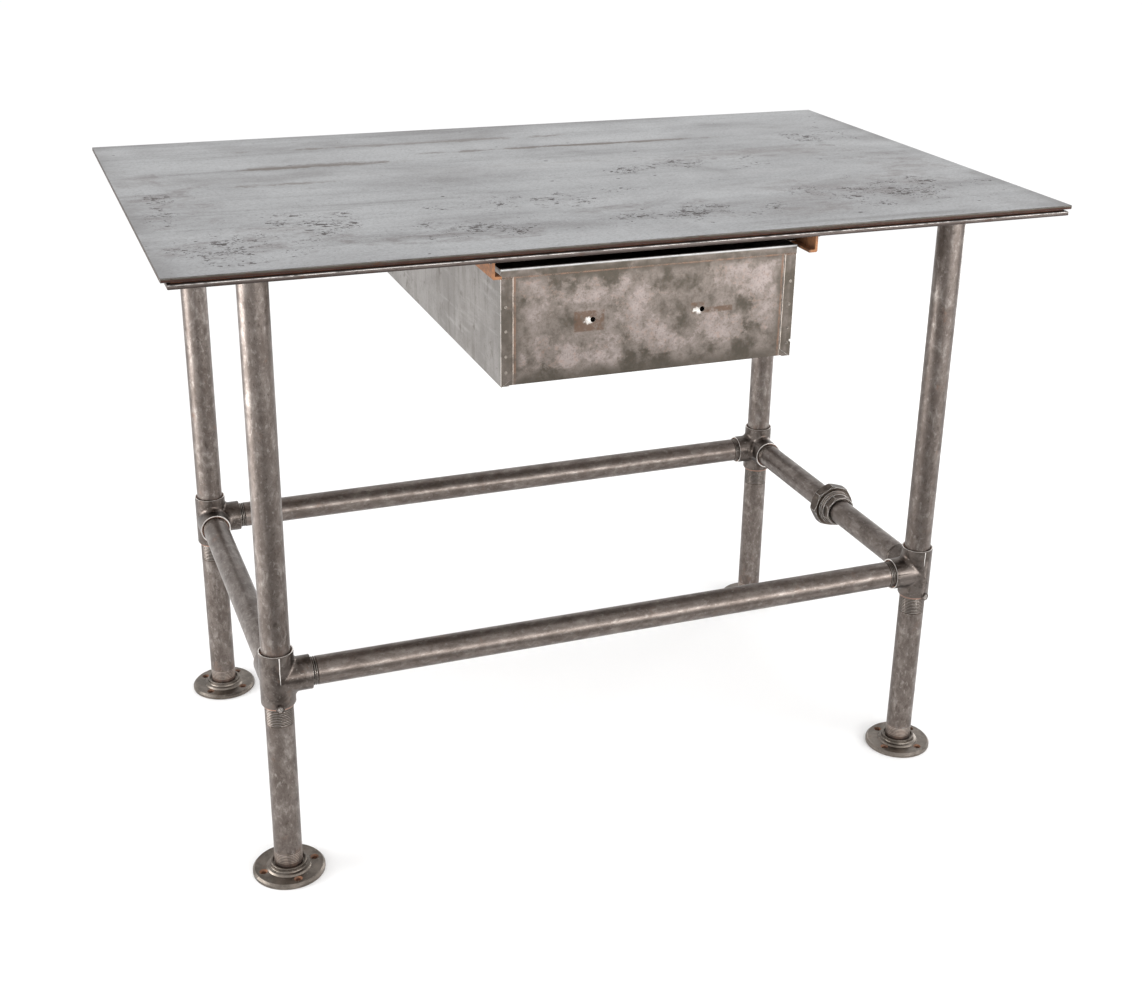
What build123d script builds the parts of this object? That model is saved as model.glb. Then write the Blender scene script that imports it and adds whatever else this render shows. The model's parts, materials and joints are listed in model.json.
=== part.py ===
from build123d import *
import math
import os

# Steel-plate table on a screwed-pipe frame, with a sheet-steel drawer hung on two runners.
# Millimetres, +Z up, X along the long side, the drawer opens toward -Y.
# The origin is on the floor, under the middle of the top.

# Top
TOP_W = 1047.0
TOP_D = 647.0
TOP_Z = 765.0
PLATE_T = 4.8
SHIM_T = 1.6
UNDER_SIDE_INSET = 6.0      # lower plate is shorter at each end
UNDER_FRONT_PROUD = 3.0     # and shows a bright lip in front of the upper plate
SHIM_W = 25.0
SHIM_INSET = 4.0
EDGE_BREAK = 0.6

# Frame, 1 inch pipe
PIPE_R = 16.7
PIPE_WALL = 3.4
LEG_X = 421.5
LEG_Y = 231.0
RAIL_Z = 263.5
THREAD_PITCH = 2.2
THREAD_DEPTH = 0.9
LEG_THREAD = 24.0           # thread that shows under each tee
RAIL_THREAD = 8.0           # thread that shows beside each tee
WELD_LEG = 3.5

# Side-outlet tees
TEE_R = 20.0
TEE_HALF = 34.5
TEE_REACH = 38.0
TEE_MOUTH_R = 18.6
TEE_MOUTH_DEPTH = 3.0
TEE_FILLET = 6.5            # cast blend where the outlets meet
PIPE_ENTRY = 19.0           # pipe ends stop this far from the middle of a tee
BOSS_R = 4.9
BOSS_REACH = 22.0
SCREW_R = 3.3
SCREW_DROP = 31.5
SCREW_HEX = 3.2

# Floor flanges
FLANGE_R = 43.0
FLANGE_T = 6.0
HUB_R = 21.6
HUB_H = 14.0
HUB_STEP_R = 25.5
HUB_MOUTH_R = 18.6
SEAT_Z = 3.0
BOLT_CIRCLE_R = 32.0
BOLT_HOLE_R = 3.3
CSK_R = 5.0

# Union in the right side rail
UNION_Y = -5.3
UNION_NUT_AF = 57.0
UNION_NUT_L = 16.0
UNION_NUT_TURN = 16.3
UNION_END_AF = 39.0
UNION_END_L = 11.0
UNION_SHOULDER_R = 24.5
UNION_SHOULDER_L = 8.5
UNION_PIPE_ENTRY = 9.0

# Drawer and runners
DRAWER_W = 349.0
DRAWER_D = 500.0
DRAWER_SETBACK = 24.0       # front panel behind the front edge of the top
DRAWER_TOP_Z = 739.0
DRAWER_BOTTOM_Z = 609.0
SHEET = 1.2
HEM_H = 10.0
TAB_W = 14.0
FLANGE_W = 9.5
FLANGE_START = 20.0         # side flanges begin behind the front panel
LIP_W = 10.0
PULL_SPACING = 130.0
PULL_X = -4.0
PULL_HOLE_R = 3.0
RUNNER_X = 190.0
RUNNER_T = 3.2
RUNNER_H = 20.2
RUNNER_W = 10.5
RUNNER_FRONT_GAP = 5.0
RUNNER_L = 532.0
SLIDE_GAP = 0.4

UNDER_TOP = TOP_Z - PLATE_T - SHIM_T
UNDER_BOTTOM = UNDER_TOP - PLATE_T
FRONT_Y = -(TOP_D + UNDER_FRONT_PROUD) / 2 + UNDER_FRONT_PROUD
BACK_Y = FRONT_Y + TOP_D
CORNERS = {
    "front_left": (-1, -1),
    "front_right": (1, -1),
    "rear_left": (-1, 1),
    "rear_right": (1, 1),
}
FLANGE_TURN = {"front_left": 8.0, "front_right": 26.0, "rear_left": 45.0, "rear_right": 60.0}
SCREW_TURN = {"front_left": -96.0, "front_right": -71.0, "rear_left": 90.0, "rear_right": 104.0}

os.makedirs("parts", exist_ok=True)


def save(name, shape):
    """Write one node."""
    shape.label = name
    export_step(shape, f"parts/{name}.step")


def block(x0, x1, y0, y1, z0, z1):
    """Box between two corners."""
    return Pos((x0 + x1) / 2, (y0 + y1) / 2, (z0 + z1) / 2) * Box(x1 - x0, y1 - y0, z1 - z0)


def rod(radius, start, end):
    """Cylinder on the Z axis between two heights."""
    return Pos(0, 0, (start + end) / 2) * Cylinder(radius, end - start)


def turned(points):
    """Solid of revolution about Z from (radius, height) points."""
    face = make_face(Plane.XZ * Polyline(*points, close=True))
    return revolve(face, Axis.Z, 360)


def pipe(length, low_thread=0.0, high_thread=0.0):
    """Pipe along +Z from 0, with thread grooves over a length at each end."""
    outer = [(PIPE_R, 0.0)]
    spans = ((0.0, low_thread), (length - high_thread, length))
    for low, high in spans:
        turns = int((high - low) / THREAD_PITCH)
        for turn in range(turns):
            z = low + (turn + 0.1) * THREAD_PITCH
            outer.append((PIPE_R, z))
            outer.append((PIPE_R - THREAD_DEPTH, z + 0.4 * THREAD_PITCH))
            outer.append((PIPE_R, z + 0.8 * THREAD_PITCH))
    outer.append((PIPE_R, length))
    bore = PIPE_R - PIPE_WALL
    return turned([(bore, 0.0)] + outer + [(bore, length)])


def octagon(flats, start, end, bore, chamfer_len=2.0):
    """Eight-sided wrench section on the Z axis with turned-down corners."""
    corner_r = flats / 2 / math.cos(math.pi / 8)
    body = Pos(0, 0, start) * extrude(RegularPolygon(corner_r, 8, rotation=22.5), end - start)
    low = corner_r - chamfer_len
    turned_down = turned([
        (0, start), (low, start), (corner_r, start + chamfer_len),
        (corner_r, end - chamfer_len), (low, end), (0, end),
    ])
    return (body & turned_down) - rod(bore, start - 1, end + 1)


def tee_casting():
    """Outside of a side-outlet tee, with outlets toward -X and +Y."""
    x_arm = Rot(0, -90, 0) * rod(TEE_R, 0, TEE_REACH)
    y_arm = Rot(-90, 0, 0) * rod(TEE_R, 0, TEE_REACH)
    body = rod(TEE_R, -TEE_HALF, TEE_HALF) + x_arm + y_arm
    straight = (GeomType.CIRCLE, GeomType.LINE)
    body = fillet([e for e in body.edges() if e.geom_type not in straight], TEE_FILLET)
    far = TEE_REACH * 2
    foot = turned([
        (0, -TEE_HALF), (TEE_R - 1.8, -TEE_HALF), (TEE_R, -TEE_HALF + 3.0),
        (far, -TEE_HALF + 3.0), (far, TEE_HALF), (0, TEE_HALF),
    ])
    return body & foot


def screw_aim(angle):
    """Places a Z-axis shape along a set screw, at an angle about the leg."""
    return Pos(0, 0, -SCREW_DROP) * Rot(0, 0, angle) * Rot(0, 90, 0)


def tee(side_x, side_y, screw_angle):
    """Side-outlet tee centred on the origin, with outlets toward side_x and side_y."""
    body = tee_casting()
    if side_x > 0:
        body = mirror(body, Plane.YZ)
    if side_y < 0:
        body = mirror(body, Plane.XZ)
    aim = screw_aim(screw_angle)
    body = body + aim * rod(BOSS_R, PIPE_R - 2.0, BOSS_REACH)
    outlets = (
        (Rot(0, 0, 0), TEE_HALF),
        (Rot(0, 90 * side_x, 0), TEE_REACH),
        (Rot(-90 * side_y, 0, 0), TEE_REACH),
    )
    for turn, reach in outlets:
        body = body - turn * rod(PIPE_R, 0, TEE_REACH + 5)
        body = body - turn * rod(TEE_MOUTH_R, reach - TEE_MOUTH_DEPTH, TEE_REACH + 5)
    body = body - rod(PIPE_R, -TEE_REACH, 1)
    return body - aim * rod(SCREW_R, 0, BOSS_REACH + 1)


def set_screw(screw_angle):
    """Socket set screw that bears on the lower leg, placed as the tee is."""
    socket = Pos(0, 0, BOSS_REACH - 2.8) * extrude(RegularPolygon(SCREW_HEX / math.sqrt(3), 6), 4)
    return screw_aim(screw_angle) * (rod(SCREW_R, PIPE_R, BOSS_REACH - 0.5) - socket)


def floor_flange(turn):
    """Round floor flange with a stepped hub and four countersunk holes."""
    body = turned([
        (PIPE_R - 2.5, 0), (FLANGE_R - 0.6, 0), (FLANGE_R, 0.6), (FLANGE_R, FLANGE_T - 2.0),
        (FLANGE_R - 2.2, FLANGE_T + 0.4), (FLANGE_R - 3.2, FLANGE_T), (HUB_STEP_R + 1.5, FLANGE_T),
        (HUB_STEP_R, FLANGE_T + 2.0), (HUB_R + 0.8, FLANGE_T + 3.0), (HUB_R, FLANGE_T + 4.5),
        (HUB_R, HUB_H - 0.5), (HUB_R - 0.5, HUB_H), (HUB_MOUTH_R + 0.8, HUB_H),
        (HUB_MOUTH_R, HUB_H - 1.0), (HUB_MOUTH_R, HUB_H - 3.0), (PIPE_R, HUB_H - 3.0),
        (PIPE_R, SEAT_Z), (PIPE_R - 2.5, SEAT_Z),
    ])
    hole = turned([
        (0, -1), (BOLT_HOLE_R, -1), (BOLT_HOLE_R, FLANGE_T - (CSK_R - BOLT_HOLE_R)),
        (CSK_R, FLANGE_T), (CSK_R, FLANGE_T + 1), (0, FLANGE_T + 1),
    ])
    for quarter in range(4):
        body = body - Rot(0, 0, turn + 90 * quarter) * Pos(BOLT_CIRCLE_R, 0, 0) * hole
    return body


def plate(x0, x1, y0, y1, z0, z1):
    """Steel plate with broken edges."""
    body = block(x0, x1, y0, y1, z0, z1)
    return chamfer(body.edges(), EDGE_BREAK)


# Top: two plates with thin shims between them
half_w = TOP_W / 2
save("top_plate", plate(-half_w, half_w, FRONT_Y, BACK_Y, TOP_Z - PLATE_T, TOP_Z))
under_half = half_w - UNDER_SIDE_INSET
save("under_plate", plate(-under_half, under_half, FRONT_Y - UNDER_FRONT_PROUD,
                          BACK_Y - UNDER_SIDE_INSET, UNDER_BOTTOM, UNDER_TOP))
shim_x = under_half - SHIM_INSET
shim_y0 = FRONT_Y + SHIM_INSET
shim_y1 = BACK_Y - UNDER_SIDE_INSET - SHIM_INSET
for name, x in (("left", -shim_x), ("middle", -SHIM_W / 2), ("right", shim_x - SHIM_W)):
    save(f"shim_{name}", block(x, x + SHIM_W, shim_y0, shim_y1, UNDER_TOP, UNDER_TOP + SHIM_T))
for name, y in (("front", shim_y0), ("rear", shim_y1 - SHIM_W)):
    strip = block(SHIM_W / 2, shim_x - SHIM_W, y, y + SHIM_W, UNDER_TOP, UNDER_TOP + SHIM_T)
    save(f"shim_{name}_right", strip)
    save(f"shim_{name}_left", mirror(strip, Plane.YZ))

# Legs, tees, flanges
tee_low = RAIL_Z - TEE_HALF
lower_top = RAIL_Z - PIPE_ENTRY
upper_base = RAIL_Z + PIPE_ENTRY
for corner, (sx, sy) in CORNERS.items():
    here = Pos(sx * LEG_X, sy * LEG_Y, 0)
    joint = Pos(sx * LEG_X, sy * LEG_Y, RAIL_Z)
    save(f"leg_upper_{corner}", here * Pos(0, 0, upper_base) * pipe(UNDER_BOTTOM - upper_base))
    lower_thread = lower_top - tee_low + LEG_THREAD
    save(f"leg_lower_{corner}", here * Pos(0, 0, SEAT_Z) * pipe(lower_top - SEAT_Z, 0, lower_thread))
    save(f"tee_{corner}", joint * tee(-sx, -sy, SCREW_TURN[corner]))
    save(f"set_screw_{corner}", joint * set_screw(SCREW_TURN[corner]))
    save(f"floor_flange_{corner}", here * floor_flange(FLANGE_TURN[corner]))
    weld = turned([(PIPE_R, UNDER_BOTTOM), (PIPE_R, UNDER_BOTTOM - WELD_LEG),
                   (PIPE_R + WELD_LEG * 0.6, UNDER_BOTTOM - WELD_LEG * 0.6),
                   (PIPE_R + WELD_LEG, UNDER_BOTTOM)])
    save(f"leg_weld_{corner}", here * weld)

# Rails
rail_thread = TEE_REACH - PIPE_ENTRY + RAIL_THREAD
long_rail = 2 * (LEG_X - PIPE_ENTRY)
short_rail = 2 * (LEG_Y - PIPE_ENTRY)
along_x = Rot(0, 90, 0)
along_y = Rot(-90, 0, 0)
for name, sy in (("rail_front", -1), ("rail_rear", 1)):
    save(name, Pos(-long_rail / 2, sy * LEG_Y, RAIL_Z) * along_x * pipe(long_rail, rail_thread, rail_thread))
save("rail_left", Pos(-LEG_X, -short_rail / 2, RAIL_Z) * along_y * pipe(short_rail, rail_thread, rail_thread))

# Right side rail in two lengths, joined by the union: tail at the rear, nut, body at the front
nut_rear = UNION_Y + UNION_NUT_L / 2
nut_front = UNION_Y - UNION_NUT_L / 2
tail_rear = nut_rear + UNION_END_L - 4.0
body_front = nut_front - UNION_SHOULDER_L - UNION_END_L
right = Pos(LEG_X, 0, RAIL_Z) * along_y
front_end = body_front + UNION_PIPE_ENTRY
rear_end = tail_rear - UNION_PIPE_ENTRY
front_rail = pipe(front_end + short_rail / 2, rail_thread, UNION_PIPE_ENTRY)
save("rail_right_front", right * Pos(0, 0, -short_rail / 2) * front_rail)
rear_rail = pipe(short_rail / 2 - rear_end, UNION_PIPE_ENTRY, rail_thread)
save("rail_right_rear", right * Pos(0, 0, rear_end) * rear_rail)
inner = PIPE_R - PIPE_WALL
tail = octagon(UNION_END_AF, nut_rear - 4.0, tail_rear, inner)
tail = tail + (rod(19.0, UNION_Y, nut_rear - 4.0) - rod(inner, UNION_Y - 1, nut_rear))
tail = tail - rod(PIPE_R, rear_end, tail_rear + 1)
save("union_tail", right * tail)
nut = Rot(0, 0, UNION_NUT_TURN) * octagon(UNION_NUT_AF, nut_front, nut_rear, 19.0)
nut = nut - rod(21.0, nut_front - 1, UNION_Y)
nut = nut - rod(UNION_END_AF / 2 / math.cos(math.pi / 8), nut_rear - 4.0, nut_rear + 1)
save("union_nut", right * nut)
shoulder = turned([
    (inner, UNION_Y), (21.0, UNION_Y), (21.0, nut_front), (UNION_SHOULDER_R, nut_front),
    (UNION_SHOULDER_R, nut_front - 1.6), (UNION_SHOULDER_R - 1.6, nut_front - 2.2),
    (UNION_SHOULDER_R - 1.6, nut_front - 3.6), (UNION_SHOULDER_R - 0.4, nut_front - 4.2),
    (UNION_SHOULDER_R - 0.4, nut_front - 6.0), (UNION_SHOULDER_R - 2.4, nut_front - 7.2),
    (UNION_SHOULDER_R - 2.4, nut_front - UNION_SHOULDER_L), (inner, nut_front - UNION_SHOULDER_L),
])
front_body = shoulder + octagon(UNION_END_AF + 2.0, body_front, nut_front - UNION_SHOULDER_L, inner)
front_body = front_body - rod(PIPE_R, body_front - 1, front_end)
front_body = front_body - rod(TEE_MOUTH_R, body_front - 1, body_front + TEE_MOUTH_DEPTH)
save("union_body", right * front_body)

# Runners: bent strips under the lower plate, legs turned inward
runner_y0 = FRONT_Y + RUNNER_FRONT_GAP
runner_y1 = runner_y0 + RUNNER_L
runner_z0 = UNDER_BOTTOM - RUNNER_H
for name, side in (("runner_left", -1), ("runner_right", 1)):
    wall = block(RUNNER_X - RUNNER_T, RUNNER_X, runner_y0, runner_y1, runner_z0, UNDER_BOTTOM)
    shelf = block(RUNNER_X - RUNNER_W, RUNNER_X, runner_y0, runner_y1, runner_z0, runner_z0 + RUNNER_T)
    runner = wall + shelf
    bend = [e for e in runner.edges().filter_by(Axis.Y)
            if abs(e.center().X - RUNNER_X) < 0.01 and abs(e.center().Z - runner_z0) < 0.01]
    runner = fillet(bend, 2.0)
    save(name, runner if side > 0 else mirror(runner, Plane.YZ))

# Drawer
front_y = FRONT_Y + DRAWER_SETBACK
back_y = front_y + DRAWER_D
half = DRAWER_W / 2
inside = half - SHEET - 0.1
panel_y = front_y + SHEET + 0.1     # panel lies behind the folded tabs
floor_y = panel_y + SHEET
shelf_z = runner_z0 + RUNNER_T + SLIDE_GAP
hem_z = DRAWER_TOP_Z - HEM_H
tab_top = hem_z - 0.3
foot_z = DRAWER_BOTTOM_Z - SHEET
crown_z = DRAWER_TOP_Z - SHEET
crown = block(-half, half, front_y, floor_y, crown_z, DRAWER_TOP_Z)
front_panel = fillet(crown.edges().filter_by(Axis.X).group_by(Axis.Z)[-1], SHEET * 0.9)
front_panel = front_panel + block(-half, half, front_y, front_y + SHEET, hem_z, crown_z)
front_panel = front_panel + block(-half, half, panel_y, floor_y, hem_z, crown_z)
front_panel = front_panel + block(-inside, inside, panel_y, floor_y, DRAWER_BOTTOM_Z, hem_z)
pull_z = (DRAWER_TOP_Z + DRAWER_BOTTOM_Z) / 2
for side in (-1, 1):
    hole_x = PULL_X + side * PULL_SPACING / 2
    front_panel = front_panel - Pos(hole_x, panel_y, pull_z) * Rot(90, 0, 0) * Cylinder(PULL_HOLE_R, 10)
save("drawer_front", front_panel)

flange_y = front_y + FLANGE_START
tab_outline = [
    (half - TAB_W, tab_top), (half, tab_top), (half, foot_z),
    (half - 4.0, DRAWER_BOTTOM_Z + 1.0), (half - TAB_W, DRAWER_BOTTOM_Z + 8.0),
]
tab = extrude(Plane.XZ * make_face(Polyline(*tab_outline, close=True)), -SHEET)
tab = Pos(0, front_y - tab.bounding_box().min.Y, 0) * tab
side_panel = tab + block(half - SHEET, half, front_y, back_y, foot_z, tab_top)
side_panel = side_panel + block(half - SHEET, half, floor_y, back_y, tab_top, shelf_z + SHEET)
side_panel = side_panel + block(half - SHEET, half + FLANGE_W, flange_y, back_y, shelf_z, shelf_z + SHEET)
side_panel = side_panel + block(half - LIP_W, half, panel_y, back_y, foot_z, DRAWER_BOTTOM_Z)
save("drawer_side_right", side_panel)
save("drawer_side_left", mirror(side_panel, Plane.YZ))

tray = block(-inside, inside, floor_y, back_y - SHEET, DRAWER_BOTTOM_Z, DRAWER_BOTTOM_Z + SHEET)
upturn = block(-inside, inside, floor_y, floor_y + SHEET, DRAWER_BOTTOM_Z, DRAWER_BOTTOM_Z + LIP_W)
save("drawer_bottom", tray + upturn)
back_top = shelf_z - 4.0
back_panel = block(-inside, inside, back_y - SHEET, back_y, DRAWER_BOTTOM_Z, back_top)
back_lip = block(-inside, inside, back_y - SHEET - 8.0, back_y - SHEET, back_top - SHEET, back_top)
save("drawer_back", back_panel + back_lip)

# Stop bar behind the drawer, hung from the lower plate
stop_leg = block(-40, 40, back_y + 1.0, back_y + 4.0, back_top - 12.0, UNDER_BOTTOM)
stop_foot = block(-40, 40, back_y + 4.0, back_y + 24.0, UNDER_BOTTOM - 3.0, UNDER_BOTTOM)
save("drawer_stop", stop_leg + stop_foot)

print("front face of the top at y", FRONT_Y, "back", BACK_Y)
print("drawer front at y", front_y, "back", back_y, "shelf top", shelf_z)
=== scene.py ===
import json
import math
import random
import bpy
from mathutils import Euler, Matrix, Vector


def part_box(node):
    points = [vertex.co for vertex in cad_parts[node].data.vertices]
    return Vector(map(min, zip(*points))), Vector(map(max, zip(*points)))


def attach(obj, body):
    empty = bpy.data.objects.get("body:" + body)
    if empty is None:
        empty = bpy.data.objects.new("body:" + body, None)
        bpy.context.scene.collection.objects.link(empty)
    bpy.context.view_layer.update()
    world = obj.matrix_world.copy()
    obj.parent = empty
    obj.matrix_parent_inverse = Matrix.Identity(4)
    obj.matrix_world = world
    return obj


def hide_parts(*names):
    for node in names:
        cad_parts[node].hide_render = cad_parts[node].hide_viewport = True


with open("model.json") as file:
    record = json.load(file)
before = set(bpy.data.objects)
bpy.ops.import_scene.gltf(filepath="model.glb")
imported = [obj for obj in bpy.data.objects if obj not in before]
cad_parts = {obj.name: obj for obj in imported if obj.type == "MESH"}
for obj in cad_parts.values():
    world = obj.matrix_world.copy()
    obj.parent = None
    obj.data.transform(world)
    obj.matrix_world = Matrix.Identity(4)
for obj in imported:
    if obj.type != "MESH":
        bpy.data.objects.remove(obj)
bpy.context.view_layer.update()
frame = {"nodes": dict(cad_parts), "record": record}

nodes = frame["nodes"]
corners = ("front_left", "front_right", "rear_left", "rear_right")
print("frame loaded:", len(nodes), "nodes")

# sizes of the pipe and fittings that the pieces below are fitted to
pipeRadius = 0.0167
teeRadius = 0.020
mouthRadius = 0.0186
mouthDepth = 0.003
threadPitch = 0.0022


def middle(name):
    low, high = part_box(name)
    return (low + high) / 2


def across(axis):
    # the two axes at right angles to this one
    return [other for other in (0, 1, 2) if other != axis]


railZ = middle("rail_front").z
legAxis = {corner: Vector((*middle("leg_upper_" + corner).xy, 0)) for corner in corners}
teeCentre = {corner: legAxis[corner] + Vector((0, 0, railZ)) for corner in corners}
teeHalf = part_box("tee_rear_left")[1].z - railZ
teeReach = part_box("tee_front_left")[1].x - legAxis["front_left"].x
topLow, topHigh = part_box("top_plate")
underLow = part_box("under_plate")[0]
frontLow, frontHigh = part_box("drawer_front")


def newMaterial(name, metallic=1.0, roughness=0.5):
    material = bpy.data.materials.new(name)
    material.use_nodes = True
    tree = material.node_tree
    shader = tree.nodes["Principled BSDF"]
    shader.inputs["Metallic"].default_value = metallic
    shader.inputs["Roughness"].default_value = roughness
    return material, tree, shader


def place(tree, stretch=(1, 1, 1), offset=(0, 0, 0)):
    # object coordinates measured from offset, then stretched
    coords = tree.nodes.new("ShaderNodeTexCoord")
    shift = tree.nodes.new("ShaderNodeVectorMath")
    shift.operation = "SUBTRACT"
    shift.inputs[1].default_value = offset
    tree.links.new(coords.outputs["Object"], shift.inputs[0])
    mapping = tree.nodes.new("ShaderNodeMapping")
    mapping.inputs["Scale"].default_value = stretch
    tree.links.new(shift.outputs[0], mapping.inputs["Vector"])
    return mapping.outputs["Vector"]


def noise(tree, vector, scale, detail=4.0, roughness=0.55, distortion=0.0):
    node = tree.nodes.new("ShaderNodeTexNoise")
    node.inputs["Scale"].default_value = scale
    node.inputs["Detail"].default_value = detail
    node.inputs["Roughness"].default_value = roughness
    node.inputs["Distortion"].default_value = distortion
    tree.links.new(vector, node.inputs["Vector"])
    return node.outputs["Fac"]


def span(tree, value, low, high, toLow=0.0, toHigh=1.0, smooth=True):
    node = tree.nodes.new("ShaderNodeMapRange")
    node.interpolation_type = "SMOOTHSTEP" if smooth else "LINEAR"
    node.inputs["From Min"].default_value = low
    node.inputs["From Max"].default_value = high
    node.inputs["To Min"].default_value = toLow
    node.inputs["To Max"].default_value = toHigh
    tree.links.new(value, node.inputs["Value"])
    return node.outputs["Result"]


def calc(tree, operation, first, second=0.0):
    node = tree.nodes.new("ShaderNodeMath")
    node.operation = operation
    for socket, value in zip(node.inputs, (first, second)):
        if isinstance(value, (int, float)):
            socket.default_value = value
        else:
            tree.links.new(value, socket)
    return node.outputs[0]


def most(tree, masks):
    # the strongest of several masks at each point
    total = masks[0]
    for mask in masks[1:]:
        total = calc(tree, "MAXIMUM", total, mask)
    return total


def mixColour(tree, factor, first, second):
    node = tree.nodes.new("ShaderNodeMix")
    node.data_type = "RGBA"
    sockets = (node.inputs["Factor"], node.inputs[6], node.inputs[7])  # 6 and 7 are the two colours
    for socket, value in zip(sockets, (factor, first, second)):
        if isinstance(value, tuple):
            socket.default_value = (*value, 1.0)
        elif isinstance(value, (int, float)):
            socket.default_value = value
        else:
            tree.links.new(value, socket)
    return node.outputs[2]


def blot(tree, centre, size, ragged, grain):
    # soft blot round a point, 1 in its middle, with a torn outline
    vector = place(tree, tuple(1.0 / part for part in size), centre)
    ball = tree.nodes.new("ShaderNodeTexGradient")
    ball.gradient_type = "SPHERICAL"
    tree.links.new(vector, ball.inputs["Vector"])
    torn = span(tree, noise(tree, place(tree), grain, 5.0, 0.7), 0.35, 0.65, -ragged, ragged, False)
    body = span(tree, calc(tree, "ADD", ball.outputs["Fac"], torn), 0.15, 0.75)
    return calc(tree, "MULTIPLY", body, span(tree, ball.outputs["Fac"], 0.0, 0.12))


def axisPart(tree, axis, offset=0.0):
    # distance along one axis from a plane
    parts = tree.nodes.new("ShaderNodeSeparateXYZ")
    coords = tree.nodes.new("ShaderNodeTexCoord")
    tree.links.new(coords.outputs["Object"], parts.inputs[0])
    return calc(tree, "SUBTRACT", parts.outputs[axis], offset)


def wander(tree, vector, scale, amount):
    # push a vector about, so that round shapes turn ragged
    node = tree.nodes.new("ShaderNodeTexNoise")
    node.inputs["Scale"].default_value = scale
    node.inputs["Detail"].default_value = 3.0
    tree.links.new(vector, node.inputs["Vector"])
    push = tree.nodes.new("ShaderNodeVectorMath")
    push.operation = "MULTIPLY_ADD"
    tree.links.new(node.outputs["Color"], push.inputs[0])
    push.inputs[1].default_value = (amount, amount, amount)
    tree.links.new(vector, push.inputs[2])
    return push.outputs[0]


def pits(tree, vector, scale, crowd, few, largest):
    # scattered round pits of many sizes; crowd is a mask where more of them lie
    cell = tree.nodes.new("ShaderNodeTexVoronoi")
    cell.inputs["Scale"].default_value = scale
    tree.links.new(vector, cell.inputs["Vector"])
    chance = tree.nodes.new("ShaderNodeSeparateColor")
    tree.links.new(cell.outputs["Color"], chance.inputs[0])
    drawn = calc(tree, "ADD", chance.outputs[0], calc(tree, "MULTIPLY", crowd, 0.42))
    size = span(tree, drawn, few, 1.42, 0.0, largest, False)
    return span(tree, calc(tree, "SUBTRACT", size, cell.outputs["Distance"]), 0.0, 0.09)


def stripe(tree, axis, offset, half, soft):
    # 1 within half of a plane, fading out over soft
    return span(tree, calc(tree, "ABSOLUTE", axisPart(tree, axis, offset)), half + soft, half)


def bumps(tree, shader, layers):
    # layers of (height, distance, strength), coarsest first
    normal = None
    for height, distance, strength in layers:
        node = tree.nodes.new("ShaderNodeBump")
        node.inputs["Strength"].default_value = strength
        node.inputs["Distance"].default_value = distance
        tree.links.new(height, node.inputs["Height"])
        if normal is not None:
            tree.links.new(normal, node.inputs["Normal"])
        normal = node.outputs["Normal"]
    tree.links.new(normal, shader.inputs["Normal"])


def feed(tree, shader, colour, roughness, metallic=None):
    tree.links.new(colour, shader.inputs["Base Color"])
    tree.links.new(roughness, shader.inputs["Roughness"])
    if metallic is not None:
        tree.links.new(metallic, shader.inputs["Metallic"])


pipeFinish = {
    "deep": (0.062, 0.049, 0.041),
    "dark": (0.105, 0.085, 0.074),
    "mid": (0.178, 0.151, 0.135),
    "light": (0.330, 0.300, 0.278),
    "rust": (0.165, 0.092, 0.062),
    "speck": (0.050, 0.038, 0.031),
    "threadMark": (0.46, 0.40, 0.35),
    "rustReach": 0.055,
    "roughness": (0.33, 0.43),
    "threadHeight": 0.024,  # middle of the threads above the floor flanges
    "threadHalf": 0.005,
}


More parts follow.
